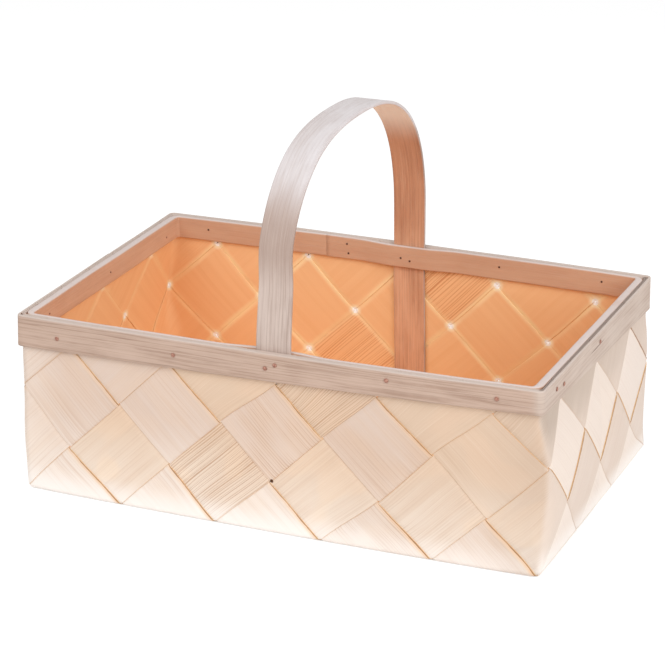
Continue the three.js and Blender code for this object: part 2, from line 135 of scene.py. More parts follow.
def ease(share):
    """0 below a share of 0, 1 above 1, and 3t^2 - 2t^3 between them."""
    t = np.clip(share, 0, 1)
    return t * t * (3 - 2 * t)


def bow_at(x, height):
    """How far a long wall bows out: most at mid length, growing with height to the rim as r(2 - r)."""
    rise = np.clip(height / WALL_RISE, 0, 1)
    return LONG_WALL_BOW * (1 - np.clip(np.abs(x) / HALF_BASE[0], 0, 1) ** 2) * rise * (2 - rise)


def long_wall_out(x, height):
    """How far a long wall stands out: a bowed spread at the foot that dies away, plus half a sine wave."""
    rise = np.clip(height / BULGE_RISE, 0, 1)
    wave = np.maximum(np.sin(np.pi * rise ** LONG_WALL_BULGE_POWER), 0)
    foot = LONG_WALL_SPREAD + LONG_WALL_FOOT_BOW * (1 - np.clip(np.abs(x) / HALF_BASE[0], 0, 1) ** 2)
    return foot * (1 - rise) ** LONG_WALL_FOOT_POWER + LONG_WALL_BULGE * wave


def end_wall_out(x, y, height):
    """How far an end wall stands out: an even spread, a little more at the foot, plus half a sine wave.

    The wave runs over the height, and grows from nothing at the wall's taut corner to twice its size at
    the full one. The back right corner stands out above half height and in below it.
    """
    rise = np.clip(height / BULGE_RISE, 0, 1)
    fullness = 1 - x * y / (HALF_BASE[0] * HALF_BASE[1])
    wave = np.maximum(np.sin(np.pi * rise), 0)
    lean = RIGHT_BACK_LEAN * np.sin(2 * np.pi * rise) * np.clip(y / HALF_BASE[1], 0, 1) * (x > 0)
    return END_WALL_SPREAD + END_WALL_FOOT * (1 - rise) ** 2 + END_WALL_BULGE * fullness * wave - lean


def rim_lift(x, y):
    """How far the rim stands above level: nothing along the front, and most at the back left corner."""
    left = np.clip((1 - x / HALF_BASE[0]) / 2, 0, 1)
    back = np.clip((1 + y / HALF_BASE[1]) / 2, 0, 1)
    return back * (RIM_LIFT_RIGHT + (RIM_LIFT_LEFT - RIM_LIFT_RIGHT) * left)


def corner_out(x, y, height):
    """How far the front left corner stands out in x from the square plan, and less at the rim's top."""
    rim = 1 - FRONT_LEFT_RIM_CUT * np.clip((height - FRONT_LEFT_RIM_LOW) / FRONT_LEFT_RIM_RISE, 0, 1)
    left = (FRONT_LEFT_START[0] - x) / FRONT_LEFT_RUN[0]
    front = (FRONT_LEFT_START[1] - y) / FRONT_LEFT_RUN[1]
    return -FRONT_LEFT_OUT * ease(left) * ease(front) * rim


def slipped(x, y, height):
    """How far the weave has slipped, sideways and up.

    Each slip on the front wall fades to nothing at the next crossings. The weave also sags towards the
    back right corner. Neither moves the foot or the rim up or down.
    """
    sideways, up = np.zeros_like(x), np.zeros_like(x)
    for slip_x, slip_height, slip_along, slip_up in SLIPS:
        distance = np.sqrt((x - slip_x) ** 2 + (y + HALF_BASE[1]) ** 2 + (height - slip_height) ** 2)
        share = 1 - ease(distance / SLIP_REACH)
        sideways += slip_along * share
        up += slip_up * share
    right = (x - BACK_SAG_START[0]) / BACK_SAG_RUN[0]
    back = (y - BACK_SAG_START[1]) / BACK_SAG_RUN[1]
    up -= BACK_SAG * ease(right) * np.clip(back, 0, 1)
    return sideways, up * ease(height / SLIP_FOOT) * (1 - ease((height - SLIP_RIM) / SLIP_RIM_RISE))


def fold_radius(x, y, height):
    """The rounding of folds and corners: small at the base's tips and where splints cross on a corner.

    It is larger along the folds, and largest half way between two crossings on a full corner.
    """
    from_tip = np.maximum(HALF_BASE[0] - np.abs(x), HALF_BASE[1] - np.abs(y))
    fold = (FOLD_RADIUS - TIP_RADIUS) * ease(from_tip / TIP_RUN) * (1 - ease(height / TIP_RUN))
    up_corner = np.sin(np.pi * height / WEAVE_SQUARE) ** 2 * (1 - np.clip(height / WALL_RISE, 0, 1) ** 2)
    corner = np.where(x * y < 0, FULL_CORNER, TAUT_CORNER) - TIP_RADIUS
    return TIP_RADIUS + fold + corner * up_corner


def on_basket(sharp, offset):
    """Points of a sharp-edged open box, moved onto the basket's rounded, bulging wall.

    A point within a fold's radius of an edge goes to the arc about the fold's centre, at 45 degrees for
    each radius of distance. offset is the distance outwards from the middle of the wall's thickness.
    """
    x, y, z = sharp[..., 0], sharp[..., 1], sharp[..., 2]
    radius = fold_radius(x, y, z)
    centre = np.stack([
        np.clip(x, radius - HALF_BASE[0], HALF_BASE[0] - radius),
        np.clip(y, radius - HALF_BASE[1], HALF_BASE[1] - radius),
        np.maximum(z, radius),
    ], axis=-1)
    outward = np.tan((sharp - centre) / radius[..., None] * (np.pi / 4))
    outward /= np.linalg.norm(outward, axis=-1, keepdims=True)
    point = centre + outward * (radius + offset)[..., None]
    near_corner = (np.abs(x) / HALF_BASE[0]) ** FRONT_CORNER_LIFT_POWER * (1 - y / HALF_BASE[1]) / 2
    wave = np.maximum(np.sin(np.pi * np.clip(z / BULGE_RISE, 0, 1)), 0)
    lift = FRONT_CORNER_LIFT * wave * np.clip(near_corner, 0, 1)
    sideways, up = slipped(x, y, z)
    point[..., 0] += end_wall_out(x, y, z) * x / HALF_BASE[0] + corner_out(x, y, z) + sideways
    point[..., 1] += long_wall_out(x, z) * y / HALF_BASE[1] + np.sign(y) * bow_at(x, z)
    point[..., 2] += WALL_HALF + lift + up + rim_lift(x, y) * ease((z - RIM_LIFT_START) / RIM_LIFT_RISE)
    return point


def folded_up(flat, edge, past):
    """Flat points beyond one edge of the base, stood up as a wall of height past.

    edge is (axis, way) of the wall. What reaches beyond the wall's end turns round the corner.
    """
    axis, way = edge
    side = 1 - axis
    beyond = np.maximum(np.abs(flat[..., side]) - HALF_BASE[side], 0)
    sharp = np.zeros(flat.shape[:-1] + (3,))
    sharp[..., side] = np.clip(flat[..., side], -HALF_BASE[side], HALF_BASE[side])
    sharp[..., axis] = way * (HALF_BASE[axis] - beyond)
    sharp[..., 2] = past
    return sharp


def in_scene(name, data):
    """A new object that holds this mesh, lamp or camera, put into the scene."""
    made = bpy.data.objects.new(name, data)
    bpy.context.scene.collection.objects.link(made)
    return made


def closed_mesh(name, points, grain, marks):
    """One closed body from rings of points carried along a path, with flat ends.

    points is (rows, ring, 3), and the ring's second half runs back under its first half, so that each
    end closes with quads between the halves. grain and marks hold UV maps and float attributes.
    """
    rows, ring = points.shape[:2]
    index = np.arange(rows * ring).reshape(rows, ring)
    here, beside = index[:-1], np.roll(index, -1, axis=1)[:-1]
    over, over_beside = index[1:], np.roll(index, -1, axis=1)[1:]
    sides = np.stack([here, beside, over_beside, over], axis=-1).reshape(-1, 4)
    half = ring // 2
    first, back = np.arange(half - 1), ring - 1 - np.arange(half - 1)
    start = np.stack([index[0, first], index[0, back], index[0, back - 1], index[0, first + 1]], axis=-1)
    end = np.stack([index[-1, first], index[-1, first + 1], index[-1, back - 1], index[-1, back]], axis=-1)
    faces = np.concatenate([sides, start, end])
    flat = points.reshape(-1, 3)
    a, b, c, d = (flat[faces[:, k]] for k in range(4))
    centre = flat.mean(axis=0)
    volume = (np.cross(c - a, d - b) * ((a + b + c + d) / 4 - centre)).sum()
    if volume < 0:
        faces = faces[:, ::-1]
    mesh = bpy.data.meshes.new(name)
    mesh.from_pydata(flat, [], faces)
    loops = np.empty(len(mesh.loops), dtype=np.int32)
    mesh.loops.foreach_get("vertex_index", loops)
    for title, values in grain.items():
        uv = mesh.uv_layers.new(name=title)
        uv.data.foreach_set("uv", values.reshape(-1, 2)[loops].astype(np.float32).ravel())
    for title, values in marks.items():
        mark = mesh.attributes.new(title, "FLOAT", "POINT")
        mark.data.foreach_set("value", np.broadcast_to(values, (rows, ring)).astype(np.float32).ravel())
    mesh.shade_smooth()
    return in_scene(name, mesh)


def strip_profile(width, thickness, steps, edge):
    """The cross-section of a flat strip as (across, up) pairs, from -half width out over the top and back.

    The faces have steps columns, and each long edge is rounded by edge in three points.
    """
    inset = EDGE_INSETS * edge
    rise = EDGE_RISES * thickness / 2
    middle = np.linspace(-1, 1, steps)[1:-1] * (width / 2 - inset[-1])
    across = np.concatenate([-width / 2 + inset, middle, (width / 2 - inset)[::-1]])
    up = np.concatenate([rise, np.full(steps - 2, thickness / 2), rise[::-1]])
    return np.concatenate([across, across[::-1]]), np.concatenate([up, -up[::-1]])


def base_rows(widest):
    """Shares from one fold to the other: a row each millimetre near the folds and ROW_STEP between them."""
    fine = np.arange(1, FINE_ROWS + 1) * MM
    middle = np.linspace(fine[-1], widest - fine[-1], max(int((widest - 2 * fine[-1]) / ROW_STEP), 4))
    return np.concatenate([fine, middle[1:-1], widest - fine[::-1]]) / widest


# Where the marks on a splint begin, and over what distance they grow. The right end, where painted shade
# greys the front wall, has two steps, each with its share.
INNER_LAYER = -0.5
LEFT_END_START = -180 * MM
LEFT_END_RUN = 45 * MM
RIGHT_END_SHADE_STEPS = ((0.35, 20 * MM, 60 * MM), (0.65, 165 * MM, 60 * MM))
RIGHT_WALL_RUN = 3 * MM
RIGHT_WALL_FOOT = 5 * MM


def splint(name, index, leans_right, look):
    """One splint: rows parallel to its two folds, each a closed cross-section.

    The flat sheet has its origin at the base's front left corner, with along = x + y and across = x - y
    for a splint that leans right, and the two swapped for one that leans left. It lies in the outer or
    inner layer by turns, and changes over in a smooth step at each crossing line. Its marks say where
    a point lies: outer and inner faces, the upper edge, the basket's ends, and the right wall.
    """
    length, width = 2 * HALF_BASE
    low, high = WEAVE_SQUARE * index, WEAVE_SQUARE * (index + 1)
    gap = SPLINT_HALF_GAP * DIAGONAL
    across, up = strip_profile((high - low - 2 * gap) / DIAGONAL, SPLINT_THICKNESS, ACROSS_STEPS, SPLINT_EDGE)
    across = (low + high) / 2 + across * DIAGONAL
    if leans_right:
        far = ((0, 1), 2 * length - across) if index >= 2 else ((1, 1), across + 2 * width)
        near = ((1, -1), across) if index >= 0 else ((0, -1), -across)
    else:
        far = ((0, 1), 2 * length - across) if index >= 5 else ((1, -1), across)
        near = ((1, 1), across - 2 * width) if index >= 3 else ((0, -1), -across)
    coarse = int(SPLINT_TOP / ROW_STEP) - FINE_ROWS // 2
    wall = np.concatenate([np.arange(FINE_ROWS) * MM, np.linspace((FINE_ROWS + 1) * MM, SPLINT_TOP, coarse)])
    shares = base_rows(np.abs(far[1] - near[1]).max() / 2)

    def flat_of(along):
        here = np.broadcast_to(across, along.shape)
        one, two = (along + here) / 2, (along - here) / 2
        return np.stack([one, two if leans_right else -two], axis=-1) - HALF_BASE

    near_along = near[1] - 2 * wall[::-1, None]
    base_along = near[1] + (far[1] - near[1]) * shares[:, None]
    far_along = far[1] + 2 * wall[:, None]
    base_flat = flat_of(base_along)
    sharp = np.concatenate([
        folded_up(flat_of(near_along), near[0], wall[::-1, None]),
        np.concatenate([base_flat, np.zeros(base_flat.shape[:-1] + (1,))], axis=-1),
        folded_up(flat_of(far_along), far[0], wall[:, None]),
    ])
    along = np.concatenate([near_along, base_along, far_along])

    def upper_side(edge):
        return float(edge[1] if edge[0] == 0 or not leans_right else -edge[1])

    upward = np.concatenate([
        np.full(near_along.shape, upper_side(near[0])), np.zeros(base_along.shape),
        np.full(far_along.shape, upper_side(far[0])),
    ])
    square = np.floor(along / WEAVE_SQUARE + 0.5)
    past_line = (along - square * WEAVE_SQUARE) / DIAGONAL
    step = 2 * ease((past_line + CROSSOVER) / (2 * CROSSOVER)) - 1
    outside = np.where((square - index) % 2 == (0 if leans_right else 1), 1.0, -1.0)
    layer = outside * step
    height = sharp[..., 2]
    cell = np.sin(np.pi * along / WEAVE_SQUARE) ** 2 * np.sin(np.pi * (across - low) / WEAVE_SQUARE) ** 2
    room_in = 1 - ease((height - PILLOW_TOP) / PILLOW_FADE)
    room_out = ease(height / PILLOW_FOOT) * room_in
    pillow = np.where(layer > 0, PILLOW_OUT * room_out, PILLOW_IN * room_in) * cell
    points = on_basket(sharp, layer * (LAYER_SHIFT + pillow) + up)

    lengthwise = along / DIAGONAL + GRAIN_SHIFT * index
    grain = np.stack([lengthwise, np.broadcast_to(across / DIAGONAL, along.shape)], axis=-1)
    weave = np.stack([along, np.broadcast_to(across, along.shape)], axis=-1) / WEAVE_SQUARE
    brown, lines, spacing = look
    x, y = sharp[..., 0], sharp[..., 1]
    piece = closed_mesh(name, points, {"grain": grain, "weave": weave}, {
        "outer": np.where(up > FLAT_SHARE * up.max(), 1.0, 0.0),
        "inner": np.where((up < 0) | (layer < INNER_LAYER), 1.0, 0.0),
        "brown": brown, "lines": lines, "spacing": spacing,
        "leans_right": float(leans_right), "height": height,
        "upper": upward * (across - (low + high) / 2) / ((high - low) / 2),
        "left_end": ease((LEFT_END_START - x) / LEFT_END_RUN),
        "right_end": sum(share * ease((x - first) / run) for share, first, run in RIGHT_END_SHADE_STEPS) * (y < 0),
        "right_wall": ease((x - HALF_BASE[0]) / RIGHT_WALL_RUN + 1) * ease(height / RIGHT_WALL_FOOT),
        "rises_back": float(leans_right == (far[0][0] == 0)),
        "front_share": np.clip((1 - y / HALF_BASE[1]) / 2, 0, 1),
    })
    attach(piece, "root")
    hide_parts(name)
    return piece


WOOD_ROUGHNESS = 0.62
SPECULAR = 0.3


class Nodes:
    """Builds the nodes of a material or a world in few words.

    finish and surface return that material or world, and the other methods an output socket.
    """

    def __init__(self, owner):
        owner.use_nodes = True
        self.owner = owner
        self.tree = owner.node_tree
        self.tree.nodes.clear()

    def add(self, kind, inputs=(), output=0, **settings):
        node = self.tree.nodes.new("ShaderNode" + kind)
        for key, value in settings.items():
            setattr(node, key, value)
        for key, value in dict(inputs).items():
            if isinstance(value, bpy.types.NodeSocket):
                self.tree.links.new(value, node.inputs[key])
            else:
                node.inputs[key].default_value = value
        return node.outputs[output]

    def math(self, operation, *values):
        return self.add("Math", enumerate(values), operation=operation)

    def times(self, product, *factors):
        for factor in factors:
            product = self.math("MULTIPLY", product, factor)
        return product

    def linear(self, value, slope, start):
        """value * slope + start"""
        return self.math("MULTIPLY_ADD", value, slope, start)

    def mark(self, title):
        return self.add("Attribute", output="Fac", attribute_name=title)

    def uv(self, title):
        return self.add("UVMap", uv_map=title)

    def noise(self, vector, along, across, detail=3.0, roughness=0.6):
        """Noise with that many spots to a metre along the grain and across it."""
        stretched = self.add("Mapping", {"Vector": vector, "Scale": (along, across, across)})
        return self.add("TexNoise", {
            "Vector": stretched, "Scale": 1.0, "Detail": detail, "Roughness": roughness})

    def spread(self, value, low, high, to_low=0.0, to_high=1.0):
        """A smooth step from to_low, where value is low, to to_high, where it is high."""
        limits = {"From Min": low, "From Max": high, "To Min": to_low, "To Max": to_high}
        return self.add("MapRange", {"Value": value, **limits}, interpolation_type="SMOOTHSTEP")

    def mix(self, share, first, second):
        return self.add("Mix", {0: share, 6: first, 7: second}, output=2, data_type="RGBA")

    def finish(self, colour, roughness, height, depth):
        bump = self.add("Bump", {"Height": height, "Strength": 1.0, "Distance": depth})
        shader = self.add("BsdfPrincipled", {
            "Base Color": colour, "Roughness": roughness, "Specular IOR Level": SPECULAR, "Normal": bump})
        return self.surface(shader)

    def surface(self, shader, kind="Material"):
        out = self.tree.nodes.new("ShaderNodeOutput" + kind)
        self.tree.links.new(shader, out.inputs["Surface"])
        return self.owner


def sketch(red, green, blue):
    """A colour as it looks on screen (0 to 255) as the linear colour that a shader takes."""
    share = np.array([red, green, blue]) / 255
    linear = np.where(share <= 0.04045, share / 12.92, ((share + 0.055) / 1.055) ** 2.4)
    return (*linear.tolist(), 1.0)


def palette(**colours):
    """Several such colours by name."""
    return SimpleNamespace(**{title: sketch(*colour) for title, colour in colours.items()})


# How the wood looks on screen, and the heights between which it changes. Some colours are painted light
# and shade: the paler foot colours are light from the floor, the right end, the right wall's two tints, the
# colour under the hoop and the right wall's top are shade and light, the edge glow and the inside's orange,
# glow, halo and spot are light through the thin wood, and the pinhole colour is shade.
SPLINT_WOOD = palette(
    pink=(219, 197, 182), pink_foot=(246, 234, 224), cream=(220, 193, 168), cream_foot=(243, 228, 213),
    streak=(217, 186, 160), brown=(216, 180, 150), honey=(228, 196, 168), honey_foot=(250, 226, 200),
    growth_line=(186, 144, 112), right_end=(172, 152, 138), left_end=(250, 238, 226),
    right_falling=(244, 231, 221), right_rising=(228, 211, 198), under_hoop=(184, 166, 151),
    dark_fibre=(194, 158, 132), pale_fibre=(247, 235, 225), foot=(254, 248, 243),
    edge_glow=(242, 196, 146), faint_line=(176, 138, 110), strong_line=(142, 94, 54),
    inside=(249, 199, 148), inside_streak=(245, 192, 140), inside_line=(206, 128, 76),
    inside_fibre=(222, 150, 98), inside_glow=(255, 224, 174), halo=(255, 240, 206),
    spot=(255, 255, 250), edge=(218, 176, 128), top=(206, 188, 177), right_top=(160, 142, 132),
    pinhole=(92, 56, 32),
)
FLOOR_LIGHT_BAND = (95 * MM, 5 * MM)
LOW_BAND = (45 * MM, 5 * MM)
FOOT_FLOOR_LIGHT_BAND = (26 * MM, 2 * MM)
SHADE_BAND = (98 * MM, 146 * MM)
SHADE_RAGGED = 30 * MM
TOP_BAND = (154 * MM, 155 * MM)
PINHOLE_EDGE = (2 * MM, 1.3 * MM)
LINE_WARP = 2.0
LINE_UNEVENNESS = 2.6
SPLINT_RELIEF = 0.08 * MM


def splint_wood(wood):
    """Pale shaved wood: fine fibres along the splint, growth lines in patches, and a dark upper edge.

    The outside is paler towards the foot with painted light from the floor, and paler at the left end.
    Painted shade greys it towards the front right corner. The right wall has painted light and shade:
    pale and darker cells by turns, and shade under the hoop. The inside is painted warm orange, as light
    comes through the thin wood, with a painted glow where it is thinnest, along the weave's lines and
    brightest where they cross. One crossing has a dark pinhole of painted shade.
    """
    n = Nodes(bpy.data.materials.new("splint_wood"))
    grain, weave = n.uv("grain"), n.uv("weave")
    leans_right, height, left_end, right_end, right_wall, rises_back, front_share = map(n.mark, (
        "leans_right", "height", "left_end", "right_end", "right_wall", "rises_back", "front_share"))

    # Fibres, streaks and growth lines, stretched along the splint.
    fibres = n.noise(grain, 9, 1500, 4.0, 0.7)
    streaks = n.noise(grain, 3, 150)
    patches = n.noise(grain, 11, 16, 2.0)
    slow = n.noise(grain, 14, 22, 1.0)
    ragged = n.noise(grain, 45, 45)
    mottled = n.noise(grain, 20, 55)
    warp = n.noise(grain, 5, 40, 2.0)
    uneven = n.noise(grain, 2, 240, 2.0)
    across = n.times(n.add("SeparateXYZ", {0: grain}, output=1), 1 / MM)
    phase = n.linear(warp, LINE_WARP, n.math("DIVIDE", across, n.mark("spacing")))
    phase = n.linear(uneven, LINE_UNEVENNESS, phase)
    wave = n.math("SINE", n.times(phase, 2 * math.pi))
    strong = n.spread(n.mark("lines"), 0.9, 1.1, 0.0, 0.85)
    everywhere = n.math("MAXIMUM", n.spread(patches, 0.36, 0.6), strong)
    rings = n.times(n.spread(wave, 0.2, 1.0), everywhere, n.mark("lines"),
                    n.spread(uneven, 0.3, 0.6, 0.35, 1.0))

    # Distances in millimetres from the nearest crossing line and from the splint's own nearest edge.
    to_mm = WEAVE_SQUARE / DIAGONAL / MM
    from_crossing, from_edge = (
        n.times(n.math("PINGPONG", n.add("SeparateXYZ", {0: weave}, output=k), 0.5), to_mm) for k in (0, 1))
    edge = n.linear(n.math("SUBTRACT", ragged, 0.5), 2.4, from_edge)

    # The outside: two tints by the way of leaning, paler at the foot with painted light from the floor, and
    # brown and honey patches.
    foot = n.spread(height, *FLOOR_LIGHT_BAND)
    outside = n.mix(leans_right, n.mix(foot, wood.cream, wood.cream_foot),
                    n.mix(foot, wood.pink, wood.pink_foot))
    outside = n.mix(n.spread(streaks, 0.35, 0.75, 0.0, 0.35), outside, wood.streak)
    browned = n.times(n.mark("brown"), n.spread(patches, 0.3, 0.7, 0.0, 0.5))
    outside = n.mix(browned, outside, wood.brown)
    tint = n.times(n.spread(slow, 0.5, 0.6, 0.0, 0.45), n.linear(leans_right, -0.7, 1.0))
    outside = n.mix(tint, outside, n.mix(foot, wood.honey, wood.honey_foot))
    drawn = n.spread(n.mark("lines"), 1.25, 1.35, 0.8, 0.2)
    outside = n.mix(n.times(rings, drawn), outside, wood.growth_line)

    # Painted shade greys it towards the front right corner, and it is paler at the left end. The right wall
    # has painted light and shade of its own: pale where a splint falls to the back, darker where it rises,
    # and painted shade under the hoop.
    outside = n.mix(n.times(right_end, 0.3), outside, wood.right_end)
    outside = n.mix(n.times(left_end, 0.3), outside, wood.left_end)
    cell = n.mix(rises_back, wood.right_falling, wood.right_rising)
    outside = n.mix(n.times(right_wall, 0.75), outside, cell)
    under_hoop = n.spread(n.linear(mottled, SHADE_RAGGED, height), *SHADE_BAND)
    shade = n.times(under_hoop, n.linear(rises_back, 0.65, 0.15), right_wall,
                    n.linear(front_share, 0.8, 0.35))
    outside = n.mix(shade, outside, wood.under_hoop)
    outside = n.mix(n.spread(fibres, 0.5, 0.8, 0.0, 0.3), outside, wood.dark_fibre)
    outside = n.mix(n.spread(fibres, 0.5, 0.25, 0.0, 0.25), outside, wood.pale_fibre)
    # Painted light from the floor: whiter still near the foot, less so towards the front wall's right end.
    foot_floor_light = n.linear(right_end, -0.7, n.linear(right_wall, 0.7, 1.0))
    foot_floor_light = n.times(n.math("MINIMUM", foot_floor_light, 1.0), n.spread(height, *FOOT_FLOOR_LIGHT_BAND, 0.0, 0.75))
    outside = n.mix(foot_floor_light, outside, wood.foot)

    # The upper edge of each splint: a glow beside it and a brown line along it, thicker near the foot.
    upper = n.spread(n.mark("upper"), 0.2, 0.6)
    low = n.spread(height, *LOW_BAND)
    glow = n.times(upper, leans_right, n.spread(edge, 5.5, 0.8), n.linear(right_wall, -0.5, 1.0))
    outside = n.mix(n.times(glow, n.linear(low, 0.35, 0.4)), outside, wood.edge_glow)
    width = n.math("ADD", n.linear(leans_right, 0.4, 0.75), n.times(low, 0.3))
    width = n.linear(right_wall, 0.9, width)
    line = n.times(upper, n.spread(n.math("SUBTRACT", edge, width), 0.4, -0.2))
    line = n.times(line, n.linear(leans_right, 0.4, 0.45))
    outside = n.mix(line, outside, n.mix(leans_right, wood.faint_line, wood.strong_line))

    # The inside: painted light coming through the thin wood, orange, with a painted glow along the weave's
    # lines and a painted white spot of light at each crossing.
    inside = n.mix(n.spread(streaks, 0.3, 0.75), wood.inside, wood.inside_streak)
    hatched = n.spread(n.mark("lines"), 1.2, 1.35, 0.05, 0.5)
    inside = n.mix(n.times(rings, hatched), inside, wood.inside_line)
    inside = n.mix(n.spread(fibres, 0.5, 0.8, 0.0, 0.16), inside, wood.inside_fibre)
    nearest = n.math("MINIMUM", from_crossing, from_edge)
    glow = n.times(n.spread(nearest, 5.2, 0.6), n.spread(slow, 0.38, 0.62, 0.4, 1.0))
    glow = n.times(glow, n.linear(left_end, -0.55, 1.0))
    inside = n.mix(glow, inside, wood.inside_glow)
    squares = n.math("ADD", n.math("POWER", from_crossing, 2.0), n.math("POWER", from_edge, 2.0))
    to_spot = n.math("SQRT", squares)
    inside = n.mix(n.spread(to_spot, 7.0, 2.8, 0.0, 0.9), inside, wood.halo)
    inside = n.mix(n.spread(to_spot, 3.4, 2.4), inside, wood.spot)
    inside = n.mix(n.mark("inner"), wood.edge, inside)

    colour = n.mix(n.mark("outer"), inside, outside)
    # The splints' tops at the rim, darkened on the right wall by painted shade in the gap there.
    top = n.mix(n.spread(right_wall, 0.0, 0.5), wood.top, wood.right_top)
    colour = n.mix(n.spread(height, *TOP_BAND), colour, top)
    # A dark spot of painted shade at the pinhole.
    place = n.add("TexCoord", output="Object")
    to_pinhole = n.add("VectorMath", {0: place, 1: PINHOLE}, output=1, operation="DISTANCE")
    colour = n.mix(n.spread(to_pinhole, *PINHOLE_EDGE), colour, wood.pinhole)
    relief = n.linear(rings, -0.6, fibres)
    return n.finish(colour, WOOD_ROUGHNESS, relief, SPLINT_RELIEF)


def wood_of(pieces, material):
    """Gives every piece in the list one material."""
    for piece in pieces:
        piece.data.materials.append(material)


splints = [splint(f"right_leaning_splint_{index + 4}", index, True, look)
           for index, look in RIGHT_LEANING.items()]
splints += [splint(f"left_leaning_splint_{index + 1}", index, False, look)
            for index, look in LEFT_LEANING.items()]
wood_of(splints, splint_wood(SPLINT_WOOD))


# The outer hoop

# One sawn strip of denser, greyer wood, stood on edge and bent round the outside of the rim. Its two
# ends are shaved thin and overlap on the left side, and it is nailed through to the inner hoop.

RIM_HEIGHT = 158 * MM
OUTER_HOOP_LOW = 131.5 * MM
OUTER_HOOP_NARROWING = 6.5 * MM
OUTER_HOOP_WIDENING = 2.5 * MM
OUTER_HOOP_LEFT_DROP = 1.3 * MM
OUTER_HOOP_THICKNESS = 2 * MM
OUTER_HOOP_SIDE_THICKNESS = 3.4 * MM
OUTER_HOOP_FACE = (231.35 * MM, 139.85 * MM)
OUTER_HOOP_CORNER = 5 * MM
OUTER_HOOP_LAP_Y = -5.4 * MM
LAP_LENGTH = 48 * MM
LAP_TIP = 0.1 * MM
LAP_GAP = 0.15 * MM
LAP_RAMP = 6 * MM
HOOP_STEP = 4 * MM
HOOP_COLUMNS = 22
HOOP_TOP = RIM_HEIGHT - 0.25 * MM
CORNER_ROWS = np.arange(-9, 10) * MM
LONG_SIDE_STEPS = 240
SHORT_SIDE_STEPS = 60
CORNER_STEPS = 12
EDGE_SHARE = 0.02
TOP_FACE_SHARE = 0.97
PALE_SIDE_START = 12 * MM
PALE_SIDE_RUN = 10 * MM
PALE_SIDE_SMOOTH = 0.6
SAWN_RELIEF = 0.2 * MM

# Ridges up a hoop's face: how many, and their share of the depth. Then the upper edge's waves: depth,
# how many radians to a metre, and where they begin.
HOOP_RIDGES = ((3, 0.35), (7, 0.4), (13, 0.25))
HOOP_RIDGE_DEPTH = 0.05 * MM
HOOP_EDGE_WAVES = ((0.15 * MM, 21, 1.0), (0.1 * MM, 57, 0.0))


def rim_line(face, radius, inset, swell=None):
    """A level loop round the rim, from the middle of the front anticlockwise as seen from above.

    face is how far its outer face stands from the middle in x and y, radius its corners' rounding, and
    inset how far inside that face the line lies in x and y. Long sides take the wall's bow, less any swell.
    """
    end = np.array(face) - radius
    turn = np.linspace(0, np.pi / 2, CORNER_STEPS + 1)[1:-1]
    x = np.linspace(-1, 1, LONG_SIDE_STEPS + 1) * end[0]
    bow = bow_at(x, WALL_RISE)
    side = bow_at(end[0], WALL_RISE)
    y = np.linspace(-1, 1, SHORT_SIDE_STEPS + 1) * (end[1] + side)
    reach = radius - np.array(inset)
    front_y = -(face[1] + bow - inset[1] - (swell(x, -1) if swell else 0))
    back_y = face[1] + bow - inset[1] - (swell(x, 1) if swell else 0)

    def corner(way_x, way_y, first):
        angle = first + turn
        centre = np.array([way_x * end[0], way_y * (end[1] + side)])
        return centre + np.stack([reach[0] * np.cos(angle), reach[1] * np.sin(angle)], axis=-1)

    loop = np.concatenate([
        np.stack([x, front_y], axis=-1), corner(1, -1, -np.pi / 2),
        np.stack([np.full_like(y, face[0] - inset[0]), y], axis=-1), corner(1, 1, 0),
        np.stack([x[::-1], back_y[::-1]], axis=-1), corner(-1, 1, np.pi / 2),
        np.stack([np.full_like(y, inset[0] - face[0]), y[::-1]], axis=-1), corner(-1, -1, np.pi),
    ])
    return np.roll(loop, -LONG_SIDE_STEPS // 2, axis=0)


